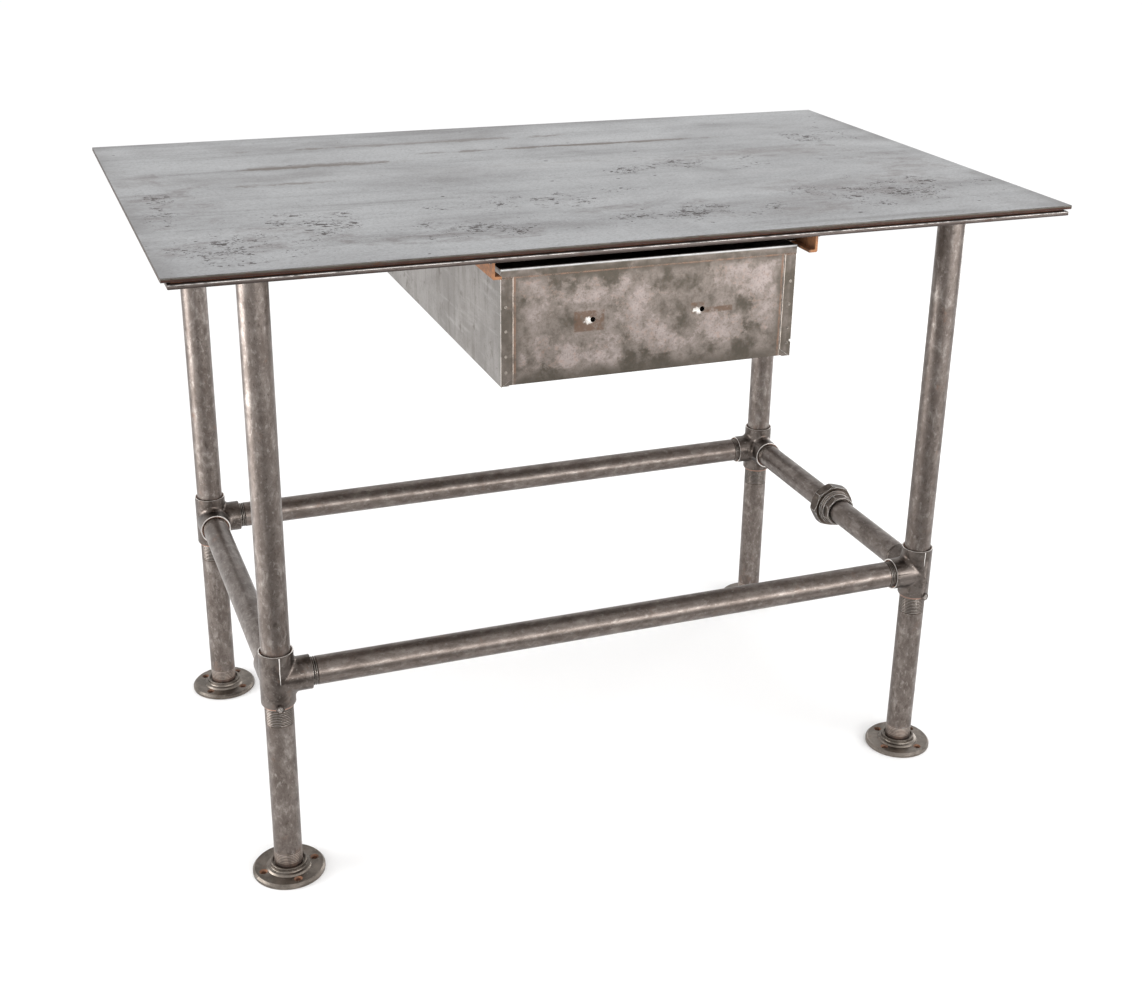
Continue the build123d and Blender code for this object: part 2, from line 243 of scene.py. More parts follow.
def pipeSteel(name, run, mottle):
    # run is the axis that the pipe lies along: blotches are drawn out along it
    finish = pipeFinish
    material, tree, shader = newMaterial(name)

    def drawnOut(along, over):
        return place(tree, tuple(along if axis == run else over for axis in "xyz"))

    cloud = noise(tree, drawnOut(48.0, 85.0), 1.0, 7.0, 0.68, 0.4)
    broad = noise(tree, place(tree), 16.0, 4.0, 0.6)
    drawn = noise(tree, drawnOut(16.0, 230.0), 1.0, 3.0, 0.6)
    fine = noise(tree, drawnOut(110.0, 190.0), 1.0, 5.0, 0.7, 0.3)
    speck = noise(tree, place(tree), 560.0, 4.0, 0.78)
    body = calc(tree, "ADD", span(tree, cloud, 0.36, 0.64, 0.0, 0.8),
                span(tree, broad, 0.3, 0.7, -0.1, 0.3, False))
    colour = mixColour(tree, span(tree, body, 0.0, 1.0, 0.0, 1.0, False), finish["dark"], finish["mid"])
    rubbed = calc(tree, "MULTIPLY", span(tree, cloud, 0.52, 0.70),
                  span(tree, speck, 0.36, 0.58, 0.3, 1.0))
    rubbed = calc(tree, "MULTIPLY", rubbed, span(tree, broad, 0.42, 0.60, 0.1, mottle))
    colour = mixColour(tree, rubbed, colour, finish["light"])
    colour = mixColour(tree, span(tree, drawn, 0.60, 0.80, 0.0, 0.22), colour, finish["light"])
    pale = span(tree, fine, 0.54, 0.68, 0.0, 0.25 + 0.3 * mottle)
    colour = mixColour(tree, pale, colour, finish["light"])
    deep = span(tree, fine, 0.44, 0.32, 0.0, 0.35 + 0.3 * mottle)
    colour = mixColour(tree, deep, colour, finish["deep"])
    # rust round the tees and the feet, and a little spattered all over
    spots = [teeCentre[corner] for corner in corners] + [legAxis[corner] for corner in corners]
    reach = finish["rustReach"]
    rust = most(tree, [blot(tree, tuple(spot), (reach, reach, reach), 0.35, 60.0) for spot in spots])
    rust = calc(tree, "MULTIPLY", rust, span(tree, cloud, 0.35, 0.6, 0.1, 0.7))
    spatter = span(tree, noise(tree, place(tree), 42.0, 6.0, 0.75), 0.59, 0.72, 0.0, 0.4)
    rust = calc(tree, "MAXIMUM", rust, spatter)
    colour = mixColour(tree, rust, colour, finish["rust"])
    colour = mixColour(tree, span(tree, speck, 0.55, 0.68, 0.0, 0.55), colour, finish["speck"])
    if run == "z":
        # the last threads show above the floor flanges
        turns = calc(tree, "SINE", calc(tree, "MULTIPLY", axisPart(tree, "Z"), 2 * math.pi / threadPitch))
        threaded = stripe(tree, "Z", finish["threadHeight"], finish["threadHalf"], 0.003)
        marks = calc(tree, "MULTIPLY", threaded, span(tree, turns, 0.1, 0.7))
        marks = calc(tree, "MULTIPLY", marks, span(tree, cloud, 0.3, 0.55, 0.3, 1.0))
        colour = mixColour(tree, marks, colour, finish["threadMark"])
    low, high = finish["roughness"]
    roughness = calc(tree, "ADD", span(tree, cloud, 0.3, 0.7, high, low, False),
                     calc(tree, "MULTIPLY", rust, 0.15))
    feed(tree, shader, colour, roughness, span(tree, rust, 0.0, 1.0, 0.86, 0.6, False))
    bumps(tree, shader, ((cloud, 0.0006, 0.3), (speck, 0.00012, 0.5)))
    return material


topFinish = {
    "bare": (0.560, 0.565, 0.575),
    "pale": (0.415, 0.420, 0.428),
    "mid": (0.325, 0.326, 0.334),
    "smoke": (0.175, 0.165, 0.164),
    "brown": (0.125, 0.097, 0.078),
    "pit": (0.060, 0.047, 0.044),
    "cloud": (0.215, 0.198, 0.198),
    # long stains, smoky areas and pitted clusters: middle x and y, then half sizes
    "stains": (
        (-0.270, 0.135, 0.190, 0.017), (-0.325, 0.045, 0.090, 0.012), (0.090, 0.170, 0.260, 0.011),
        (-0.110, 0.240, 0.300, 0.012), (0.020, 0.070, 0.150, 0.010), (0.300, 0.060, 0.140, 0.009),
    ),
    "smoky": (
        (0.360, -0.170, 0.190, 0.085), (0.200, -0.235, 0.130, 0.040), (0.440, -0.040, 0.100, 0.120),
        (-0.410, -0.215, 0.120, 0.070), (0.040, -0.180, 0.100, 0.035), (-0.470, 0.010, 0.060, 0.200),
        (0.300, 0.060, 0.180, 0.040), (-0.180, -0.250, 0.140, 0.030),
    ),
    "clusters": (
        (-0.440, -0.216, 0.110, 0.090), (-0.330, -0.150, 0.110, 0.070), (-0.175, -0.229, 0.110, 0.070),
        (0.370, -0.191, 0.160, 0.105), (0.180, 0.020, 0.140, 0.060), (0.440, 0.130, 0.060, 0.090),
        (-0.060, -0.110, 0.160, 0.060), (-0.490, -0.040, 0.030, 0.110), (0.080, -0.230, 0.140, 0.060),
    ),
}


def topSteel():
    finish = topFinish
    material, tree, shader = newMaterial("topSteel")

    def blots(areas, ragged, torn):
        return most(tree, [blot(tree, (x, y, topHigh.z), (long, wide, 1.0), ragged, torn)
                           for x, y, long, wide in areas])

    cloud = noise(tree, place(tree, (1.0, 1.6, 1.0)), 5.0, 6.0, 0.62, 0.4)
    drag = noise(tree, place(tree, (1.5, 24.0, 1.0)), 1.0, 7.0, 0.65, 0.3)  # drawn out along the plate
    fine = noise(tree, place(tree, (14.0, 420.0, 1.0)), 1.0, 3.0, 0.6)
    grain = noise(tree, place(tree, (1.0, 1.6, 1.0)), 260.0, 5.0, 0.8)
    colour = mixColour(tree, span(tree, cloud, 0.36, 0.64), finish["mid"], finish["pale"])
    colour = mixColour(tree, span(tree, cloud, 0.46, 0.30, 0.0, 0.5), colour, finish["smoke"])
    colour = mixColour(tree, span(tree, drag, 0.46, 0.30, 0.0, 0.5), colour, finish["smoke"])
    colour = mixColour(tree, span(tree, fine, 0.60, 0.8, 0.0, 0.3), colour, finish["smoke"])
    stains = blots(finish["stains"], 0.45, 26.0)
    stains = calc(tree, "MULTIPLY", stains, span(tree, drag, 0.60, 0.38, 0.2, 0.9))
    colour = mixColour(tree, stains, colour, finish["brown"])
    smoky = blots(finish["smoky"], 0.7, 14.0)
    wisps = noise(tree, place(tree, (1.0, 2.4, 1.0)), 22.0, 6.0, 0.66, 0.5)
    smoky = calc(tree, "MULTIPLY", smoky, span(tree, wisps, 0.42, 0.62, 0.1, 0.85))
    colour = mixColour(tree, smoky, colour, finish["cloud"])
    # pits of many sizes, crowded in the clusters and thin between them
    crowd = blots(finish["clusters"], 0.55, 16.0)
    gaps = noise(tree, place(tree, (1.0, 1.5, 1.0)), 24.0, 4.0, 0.6, 0.6)
    crowd = calc(tree, "MULTIPLY", crowd, span(tree, gaps, 0.38, 0.56, 0.30, 1.15, False))
    torn = wander(tree, place(tree, (1.0, 1.5, 1.0)), 120.0, 0.006)
    fleck = noise(tree, place(tree, (1.0, 1.5, 1.0)), 190.0, 5.0, 0.62, 0.6)
    flecks = span(tree, calc(tree, "ADD", fleck, calc(tree, "MULTIPLY", crowd, 0.14)), 0.68, 0.74)
    dots = most(tree, [flecks,
                       pits(tree, torn, 52.0, crowd, 1.02, 0.46),
                       pits(tree, torn, 120.0, crowd, 0.92, 0.52),
                       pits(tree, torn, 250.0, crowd, 0.84, 0.50),
                       pits(tree, torn, 60.0, 0.0, 0.92, 1.35)])
    smudge = noise(tree, place(tree, (1.0, 2.2, 1.0)), 55.0, 4.0, 0.7, 0.8)
    haze = calc(tree, "ADD", calc(tree, "MULTIPLY", crowd, 0.8), 0.2)
    haze = calc(tree, "MULTIPLY", haze, span(tree, smudge, 0.50, 0.66, 0.0, 0.9))
    colour = mixColour(tree, haze, colour, finish["smoke"])
    colour = mixColour(tree, calc(tree, "MULTIPLY", dots, 0.80), colour, finish["pit"])
    colour = mixColour(tree, span(tree, grain, 0.50, 0.66, 0.0, 0.66), colour, finish["smoke"])
    colour = mixColour(tree, span(tree, grain, 0.46, 0.32, 0.0, 0.45), colour, finish["bare"])
    speckle = noise(tree, place(tree, (1.0, 1.8, 1.0)), 95.0, 5.0, 0.75)
    colour = mixColour(tree, span(tree, speckle, 0.56, 0.72, 0.0, 0.6), colour, finish["smoke"])
    # the rim of the plate is rubbed darker at both ends and along the back
    rim = most(tree, [stripe(tree, "X", topLow.x, 0.002, 0.030),
                      stripe(tree, "X", topHigh.x, 0.002, 0.022),
                      stripe(tree, "Y", topHigh.y, 0.002, 0.020)])
    rim = calc(tree, "MULTIPLY", rim, span(tree, cloud, 0.65, 0.4, 0.1, 0.55))
    colour = mixColour(tree, rim, colour, finish["smoke"])
    roughness = calc(tree, "ADD", span(tree, drag, 0.3, 0.7, 0.48, 0.34, False),
                     calc(tree, "MULTIPLY", dots, 0.25))
    feed(tree, shader, colour, roughness)
    sunk = calc(tree, "SUBTRACT", 1.0, dots)
    bumps(tree, shader, ((sunk, 0.0007, 0.5), (fine, 0.00008, 0.35), (grain, 0.00008, 0.4)))
    return material


edgeFinish = {
    "olive": (0.062, 0.054, 0.044),
    "redBrownRustAndShadow": (0.046, 0.021, 0.015),
    "underMid": (0.105, 0.086, 0.078),
    "underDark": (0.052, 0.040, 0.035),
    "rust": (0.085, 0.040, 0.024),
    "underSplit": 0.002,  # height of the change of skin above the lower face
}


def plateEdge(name, upper, lower, split):
    # edge in two colours, one above the height split and one below it; on the top plate the red-brown lower
    # half is partly rust and partly painted shadow of the gap beneath it
    material, tree, shader = newMaterial(name, 0.8)
    run = noise(tree, place(tree, (12.0, 12.0, 200.0)), 1.0, 5.0, 0.65)
    spots = noise(tree, place(tree, (1.0, 1.0, 3.0)), 46.0, 6.0, 0.72)
    height = calc(tree, "ADD", axisPart(tree, "Z", split),
                  span(tree, run, 0.3, 0.7, -0.0009, 0.0009, False))
    colour = mixColour(tree, span(tree, height, -0.0007, 0.0007), lower, upper)
    dark = tuple(part * 0.5 for part in lower)
    colour = mixColour(tree, span(tree, spots, 0.44, 0.34, 0.0, 0.7), colour, dark)
    colour = mixColour(tree, span(tree, spots, 0.56, 0.68, 0.0, 0.7), colour, edgeFinish["rust"])
    feed(tree, shader, colour, span(tree, spots, 0.3, 0.7, 0.45, 0.7, False))
    bumps(tree, shader, ((spots, 0.0005, 0.5),))
    return material


def plainPaint(name, colour):
    material, tree, shader = newMaterial(name, 0.0, 0.9)
    shader.inputs["Base Color"].default_value = (*colour, 1.0)
    return material


castFinish = {
    "teeIron": {"dark": (0.075, 0.061, 0.053), "mid": (0.150, 0.128, 0.115),
                "light": (0.300, 0.272, 0.252), "rustiness": 0.30},
    "flangeIron": {"dark": (0.115, 0.099, 0.084), "mid": (0.200, 0.173, 0.150),
                   "light": (0.320, 0.290, 0.262), "rustiness": 0.40},
    "unionIron": {"dark": (0.052, 0.040, 0.032), "mid": (0.118, 0.096, 0.082),
                  "light": (0.260, 0.230, 0.205), "rustiness": 0.25},
    "rust": (0.16, 0.078, 0.045),
}


def castIron(name):
    finish = castFinish[name]
    material, tree, shader = newMaterial(name)
    broad = noise(tree, place(tree), 45.0, 5.0, 0.62, 0.5)
    skin = noise(tree, place(tree), 300.0, 4.0, 0.7)
    rusty = noise(tree, place(tree), 70.0, 6.0, 0.72)
    colour = mixColour(tree, span(tree, broad, 0.36, 0.62), finish["dark"], finish["mid"])
    colour = mixColour(tree, span(tree, skin, 0.54, 0.72, 0.0, 0.55), colour, finish["light"])
    rust = span(tree, rusty, 0.58, 0.72, 0.0, finish["rustiness"])
    colour = mixColour(tree, rust, colour, castFinish["rust"])
    roughness = calc(tree, "ADD", span(tree, broad, 0.3, 0.7, 0.34, 0.44, False),
                     calc(tree, "MULTIPLY", rust, 0.4))
    feed(tree, shader, colour, roughness, span(tree, rust, 0.0, 1.0, 1.0, 0.5, False))
    bumps(tree, shader, ((broad, 0.0006, 0.25), (skin, 0.0003, 0.45)))
    return material


def bareMetal(name, colour, low, high, grain, dullness, metallic=1.0):
    # bright worn metal of rims, threads and rubbed edges; the lip, rim and sheet edge finishes are
    # brightened further as painted highlights
    material, tree, shader = newMaterial(name, metallic)
    wear = noise(tree, place(tree), grain, 4.0, 0.65)
    dull = tuple(part * dullness for part in colour)
    feed(tree, shader, mixColour(tree, span(tree, wear, 0.34, 0.56), dull, colour),
         span(tree, wear, 0.3, 0.7, high, low, False))
    bumps(tree, shader, ((wear, 0.0002, 0.3),))
    return material


def rustySteel(name, orange, brown):
    material, tree, shader = newMaterial(name, 0.3)
    spots = noise(tree, place(tree), 70.0, 6.0, 0.72, 0.4)
    grit = noise(tree, place(tree), 520.0, 3.0, 0.72)
    dark = tuple(part * 0.4 for part in brown)
    colour = mixColour(tree, span(tree, spots, 0.38, 0.62), brown, orange)
    colour = mixColour(tree, span(tree, grit, 0.55, 0.75, 0.0, 0.5), colour, dark)
    feed(tree, shader, colour, span(tree, spots, 0.3, 0.7, 0.6, 0.85, False))
    bumps(tree, shader, ((grit, 0.0003, 0.6),))
    return material


drawerFinish = {
    "mid": (0.158, 0.135, 0.120),
    "light": (0.278, 0.238, 0.224),
    "tan": (0.235, 0.158, 0.122),
    "shade": (0.070, 0.061, 0.050),
    "rustLine": (0.185, 0.115, 0.083),
    "tabEdgeHighlight": (0.46, 0.39, 0.34),
    "ghost": (0.105, 0.068, 0.049),
    "bright": (0.60, 0.58, 0.55),
    "lip": (0.36, 0.36, 0.355),
    "grain": (0.095, 0.072, 0.058),
    "tabWidth": 0.014,
    "foldWidth": 0.0022,
    "ghostSoft": 0.0022,
    "hemHeight": 0.010,
    # bright marks at the two holes and a nick near the right tab: middle x and z, half sizes, raggedness
    "marks": ((-0.0735, 0.673, 0.0085, 0.0055, 0.3), (0.0565, 0.673, 0.0085, 0.0055, 0.3),
              (0.1735, 0.627, 0.003, 0.003, 0.2)),
    # lighter rubbed patches: middle x and z, then half sizes
    "patches": ((-0.130, 0.710, 0.060, 0.024), (-0.065, 0.707, 0.040, 0.020), (-0.020, 0.690, 0.040, 0.050),
                (0.110, 0.708, 0.060, 0.028), (-0.120, 0.640, 0.045, 0.024), (-0.050, 0.642, 0.035, 0.022),
                (0.010, 0.650, 0.050, 0.024), (0.085, 0.654, 0.045, 0.024), (0.140, 0.668, 0.030, 0.030)),
    # ghosts of the lost handle's feet: middle x and z, then half sizes
    "ghosts": ((-0.0735, 0.673, 0.0165, 0.0105), (0.0555, 0.676, 0.0070, 0.0052),
               (0.0800, 0.6725, 0.0170, 0.0020)),
}


def drawerFrontSteel():
    finish = drawerFinish
    material, tree, shader = newMaterial("drawerFrontSteel")

    def upright(axis, offset, half, soft):
        # the same stripe at both ends of the front
        return [stripe(tree, axis, -offset, half, soft), stripe(tree, axis, offset, half, soft)]

    cloud = noise(tree, place(tree, (1.0, 1.0, 1.0), (0.4, 0.0, 0.2)), 24.0, 3.0, 0.5, 0.4)
    patchy = noise(tree, place(tree, (1.0, 1.0, 1.0), (0.11, 0.0, 0.05)), 60.0, 3.0, 0.55, 0.3)
    fleck = noise(tree, place(tree, (1.0, 1.0, 1.0), (0.3, 0.0, 0.1)), 210.0, 5.0, 0.7, 0.3)
    grain = noise(tree, place(tree), 420.0, 5.0, 0.82)
    rubbed = most(tree, [blot(tree, (x, frontLow.y, z), (wide, 1.0, tall), 0.8, 34.0)
                         for x, z, wide, tall in finish["patches"]])
    tone = calc(tree, "ADD", span(tree, cloud, 0.30, 0.70, -0.12, 0.62, False),
                span(tree, patchy, 0.3, 0.7, -0.16, 0.22, False))
    tone = calc(tree, "ADD", tone, calc(tree, "MULTIPLY", rubbed, 0.34))
    tone = calc(tree, "ADD", tone, span(tree, fleck, 0.3, 0.7, -0.14, 0.14, False))
    colour = mixColour(tree, span(tree, tone, -0.05, 0.45), finish["shade"], finish["mid"])
    colour = mixColour(tree, span(tree, tone, 0.32, 1.05), colour, finish["light"])
    tan = calc(tree, "MULTIPLY", span(tree, fleck, 0.52, 0.66), rubbed)
    colour = mixColour(tree, calc(tree, "MULTIPLY", tan, 0.5), colour, finish["tan"])
    # darker along the hem, the tabs and the bottom
    hemZ = frontHigh.z - finish["hemHeight"]
    tabX = frontHigh.x - finish["tabWidth"]
    rims = most(tree, upright("X", tabX, 0.001, 0.012)
                + [stripe(tree, "X", -frontHigh.x, 0.008, 0.006),
                   stripe(tree, "X", frontHigh.x, 0.004, 0.006),
                   stripe(tree, "Z", hemZ, 0.001, 0.009),
                   stripe(tree, "Z", frontLow.z, 0.002, 0.014)])
    rims = calc(tree, "MULTIPLY", rims, span(tree, patchy, 0.35, 0.6, 0.3, 0.85))
    colour = mixColour(tree, rims, colour, finish["shade"])
    # lines where the sheet folds over: a painted highlight along the tab edges, rusty lines inside the tabs
    # and at the hem
    broken = noise(tree, place(tree, (1.0, 1.0, 0.6)), 130.0, 5.0, 0.75)
    broken = span(tree, broken, 0.40, 0.58, 0.25, 1.0)
    belowHem = span(tree, axisPart(tree, "Z", hemZ), 0.0006, -0.0006)
    tabs = calc(tree, "MULTIPLY", most(tree, upright("X", tabX, 0.0005, 0.0007)), belowHem)
    folds = upright("X", tabX - finish["foldWidth"], 0.0006, 0.0012)
    inner = calc(tree, "MULTIPLY", most(tree, folds), belowHem)
    rusty = calc(tree, "MAXIMUM", inner, stripe(tree, "Z", hemZ - 0.0004, 0.0003, 0.0014))
    rusty = calc(tree, "MULTIPLY", rusty, calc(tree, "MULTIPLY", broken, 0.8))
    colour = mixColour(tree, rusty, colour, finish["rustLine"])
    colour = mixColour(tree, calc(tree, "MULTIPLY", tabs, broken), colour, finish["tabEdgeHighlight"])
    # brown ghosts of the lost handle, and metal rubbed bright at its holes
    ghosts = []
    for x, z, wide, tall in finish["ghosts"]:
        band = stripe(tree, "X", x, wide, finish["ghostSoft"])
        ghosts.append(calc(tree, "MULTIPLY", band, stripe(tree, "Z", z, tall, finish["ghostSoft"])))
    ghosts = most(tree, ghosts)
    torn = span(tree, noise(tree, place(tree), 120.0, 5.0, 0.75), 0.38, 0.55, 0.15, 0.85)
    colour = mixColour(tree, calc(tree, "MULTIPLY", ghosts, torn), colour, finish["ghost"])
    bright = most(tree, [blot(tree, (x, frontLow.y, z), (wide, 1.0, tall), ragged, 240.0)
                         for x, z, wide, tall, ragged in finish["marks"]])
    colour = mixColour(tree, bright, colour, finish["bright"])
    colour = mixColour(tree, span(tree, grain, 0.50, 0.64, 0.0, 0.55), colour, finish["grain"])
    # a painted highlight along the rolled lip at the top
    lip = span(tree, axisPart(tree, "Z", frontHigh.z), -0.0030, -0.0016)
    lip = calc(tree, "MULTIPLY", lip, span(tree, broken, 0.2, 1.0, 0.75, 1.0))
    colour = mixColour(tree, lip, colour, finish["lip"])
    feed(tree, shader, colour, span(tree, cloud, 0.3, 0.7, 0.36, 0.5, False))
    bumps(tree, shader, ((patchy, 0.0010, 0.2), (grain, 0.0001, 0.5)))
    return material


sheetFinish = {
    "pale": (0.285, 0.268, 0.254),
    "grey": (0.205, 0.190, 0.177),
    "streak": (0.150, 0.134, 0.120),
    "scuff": (0.400, 0.385, 0.370),
    "spot": (0.105, 0.086, 0.073),
    "grain": (0.100, 0.082, 0.070),
}


def drawerSheetSteel():
    finish = sheetFinish
    material, tree, shader = newMaterial("drawerSheetSteel")
    cloud = noise(tree, place(tree), 14.0, 5.0, 0.6, 0.4)
    streak = noise(tree, place(tree, (60.0, 60.0, 7.0)), 1.0, 6.0, 0.65, 0.3)
    along = noise(tree, place(tree, (9.0, 9.0, 90.0)), 1.0, 5.0, 0.62, 0.3)
    grain = noise(tree, place(tree), 380.0, 5.0, 0.8)
    spots = noise(tree, place(tree), 60.0, 5.0, 0.68, 0.6)
    colour = mixColour(tree, span(tree, cloud, 0.36, 0.64), finish["grey"], finish["pale"])
    colour = mixColour(tree, span(tree, streak, 0.50, 0.68, 0.0, 0.5), colour, finish["streak"])
    colour = mixColour(tree, span(tree, along, 0.48, 0.30, 0.0, 0.45), colour, finish["scuff"])
    colour = mixColour(tree, span(tree, spots, 0.58, 0.70, 0.0, 0.7), colour, finish["spot"])
    colour = mixColour(tree, span(tree, grain, 0.52, 0.68, 0.0, 0.5), colour, finish["grain"])
    feed(tree, shader, colour, span(tree, streak, 0.3, 0.7, 0.38, 0.5, False))
    bumps(tree, shader, ((cloud, 0.002, 0.2), (grain, 0.0001, 0.5)))
    return material


# worn metal: name, colour, roughness where bright and where dull, grain, how dark the dull parts are,
# and how metallic it is where that is not 1
wornMetals = {
    # lip: the under plate's upward front lip, painted bright as a highlight line
    "lip": ("underLipMetal", (0.50, 0.475, 0.455), 0.30, 0.45, 70.0, 0.30),
    "topRim": ("topRimMetal", (0.15, 0.14, 0.132), 0.35, 0.50, 60.0, 0.50),
    # rim: worn metal on bevels and mouth rims, brightened into a painted highlight line
    "rim": ("wornRimMetal", (0.84, 0.80, 0.76), 0.26, 0.40, 120.0, 0.70, 0.5),
    "flangeRim": ("flangeRimMetal", (0.40, 0.365, 0.33), 0.32, 0.46, 120.0, 0.50),
    "thread": ("threadMetal", (0.36, 0.332, 0.306), 0.32, 0.42, 60.0, 0.75),
    "groove": ("threadGrooveMetal", (0.085, 0.068, 0.058), 0.36, 0.46, 60.0, 0.75),
    # sheetEdge: worn drawer edges, brightened as a painted highlight line
    "sheetEdge": ("sheetEdgeMetal", (0.74, 0.69, 0.64), 0.26, 0.45, 110.0, 0.38),
    "spotWeld": ("spotWeldMetal", (0.27, 0.24, 0.21), 0.36, 0.50, 200.0, 0.40),
    "weld": ("weldBeadMetal", (0.40, 0.36, 0.33), 0.28, 0.45, 220.0, 0.40),
    "screw": ("screwMetal", (0.34, 0.31, 0.29), 0.28, 0.48, 160.0, 0.40),
}
# rusty steel: name, orange and brown
rustySteels = {
    "shim": ("shimRust", (0.20, 0.075, 0.04), (0.09, 0.038, 0.024)),
    "runner": ("runnerRust", (0.36, 0.165, 0.075), (0.17, 0.085, 0.048)),
    # mouth: rust in the tee mouths, lightened as painted fill light against the shade of the recess
    "mouth": ("socketRust", (0.42, 0.235, 0.165), (0.25, 0.145, 0.105)),
    "boltHole": ("boltHoleRust", (0.24, 0.115, 0.065), (0.10, 0.055, 0.036)),
    # the under plate's underside: light grey, painted fill light that the pipes below reflect, not rust
    "underFaceFillLight": ("underPlateFace", (0.34, 0.30, 0.275), (0.22, 0.185, 0.165)),
}
materials = {
    "pipeX": pipeSteel("pipeSteelAlongX", "x", 0.45),
    "pipeY": pipeSteel("pipeSteelAlongY", "y", 0.7),
    "pipeZ": pipeSteel("pipeSteelAlongZ", "z", 1.0),
    "top": topSteel(),
    # top plate edge: olive above, red-brown below, that lower half partly rust and partly painted shadow
    "topEdge": plateEdge("topPlateEdge", edgeFinish["olive"], edgeFinish["redBrownRustAndShadow"],
                         (topLow.z + topHigh.z) / 2),
    "under": plateEdge("underPlateSkin", edgeFinish["underMid"], edgeFinish["underDark"],
                       underLow.z + edgeFinish["underSplit"]),
    "tee": castIron("teeIron"),
    "flange": castIron("flangeIron"),
    "union": castIron("unionIron"),
    "drawerFront": drawerFrontSteel(),
    "drawerSheet": drawerSheetSteel(),
}
for key, values in wornMetals.items():
    materials[key] = bareMetal(*values)
for key, values in rustySteels.items():
    materials[key] = rustySteel(*values)
print("finishes made:", len(materials))


def workOn(piece):
    bpy.ops.object.select_all(action="DESELECT")
    piece.select_set(True)
    bpy.context.view_layer.objects.active = piece


def wearEdges(piece, width, segments, angle, rim):
    # bevel the sharp edges, in the finish rim where one is given
    worn = piece.modifiers.new("wornEdges", "BEVEL")
    worn.width = width
    worn.segments = segments
    worn.limit_method = "ANGLE"
    worn.angle_limit = math.radians(angle)
    if rim:
        piece.data.materials.append(materials[rim])
        worn.material = len(piece.data.materials) - 1
    workOn(piece)
    bpy.ops.object.modifier_apply(modifier=worn.name)


def smoothFaces(piece, angle):
    workOn(piece)
    bpy.ops.object.shade_smooth_by_angle(angle=math.radians(angle))
    even = piece.modifiers.new("evenNormals", "WEIGHTED_NORMAL")
    even.mode = "FACE_AREA"
    even.keep_sharp = True
    bpy.ops.object.modifier_apply(modifier=even.name)


refineSettings = {"merge": 0.000002, "flat": 0.4}  # metres between doubles, degrees that count as flat


def refine(name, finish, rim=None, bevel=0.0004, segments=2, angle=32.0):
    # a merged, smooth-shaded copy of a node, with its sharp edges worn round
    piece = bpy.data.objects.new(name + "_finished", nodes[name].data.copy())
    bpy.context.scene.collection.objects.link(piece)
    piece.data.materials.clear()
    piece.data.materials.append(materials[finish])
    for polygon in piece.data.polygons:
        polygon.material_index = 0
    workOn(piece)
    bpy.ops.object.mode_set(mode="EDIT")
    bpy.ops.mesh.select_all(action="SELECT")
    bpy.ops.mesh.remove_doubles(threshold=refineSettings["merge"])
    bpy.ops.mesh.dissolve_limited(angle_limit=math.radians(refineSettings["flat"]))
    bpy.ops.object.mode_set(mode="OBJECT")
    if bevel:
        wearEdges(piece, bevel, segments, angle, rim)
    smoothFaces(piece, angle)
    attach(piece, "table" if name in frame["record"]["behaviour"]["bodies"]["table"] else "drawer")
    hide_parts(name)
    return piece


def paintFaces(piece, key, test):
    # give one finish to the faces whose middle and normal pass the test
    if materials[key].name not in piece.data.materials:
        piece.data.materials.append(materials[key])
    index = list(piece.data.materials).index(materials[key])
    for polygon in piece.data.polygons:
        if test(polygon.center, polygon.normal):
            polygon.material_index = index


plateSettings = {"topBevel": 0.0003, "shimBevel": 0.0002, "lipDepth": 0.0003}
top = refine("top_plate", "topEdge", "topRim", plateSettings["topBevel"], 1)
paintFaces(top, "top", lambda spot, normal: normal.z > 0.9)
under = refine("under_plate", "under", None, plateSettings["topBevel"], 1)
# the upward-facing front lip of the under plate is painted bright: a painted highlight line
paintFaces(under, "lip",
           lambda spot, normal: normal.z > 0.3 and spot.y < topLow.y + plateSettings["lipDepth"])
# the underside faces are painted light grey as painted fill light for the reflections in the pipes
paintFaces(under, "underFaceFillLight", lambda spot, normal: normal.z < -0.9)
for name in nodes:
    if name.startswith("shim_"):
        refine(name, "shim", None, plateSettings["shimBevel"], 1)
print("top finished")

# distances from the pipe's axis between which a face is part of a thread
threadSettings = {"root": 0.0155, "crest": pipeRadius - 0.0002}


def cutThread(piece, axis, centre):
    # bright crests and dark grooves on the threaded ends of a pipe
    first, second = across(axis)

    def radius(spot):
        return math.hypot(spot[first] - centre[first], spot[second] - centre[second])

    def inGroove(spot):
        return threadSettings["root"] < radius(spot) < threadSettings["crest"]

    paintFaces(piece, "groove", lambda spot, normal: inGroove(spot) and abs(normal[axis]) < 0.95)
    grooves = [face.center[axis] for face in piece.data.polygons if inGroove(face.center)]
    if grooves:
        paintFaces(piece, "thread", lambda spot, normal: radius(spot) > threadSettings["crest"] and any(
            abs(spot[axis] - groove) < threadPitch * 0.5 for groove in grooves))


for corner in corners:
    refine("leg_upper_" + corner, "pipeZ", None, 0)
    cutThread(refine("leg_lower_" + corner, "pipeZ", None, 0), 2, legAxis[corner])
for name, key, axis in (("rail_front", "pipeX", 0), ("rail_rear", "pipeX", 0), ("rail_left", "pipeY", 1),
                        ("rail_right_front", "pipeY", 1), ("rail_right_rear", "pipeY", 1)):
    cutThread(refine(name, key, None, 0), axis, middle(name))
print("pipes finished")

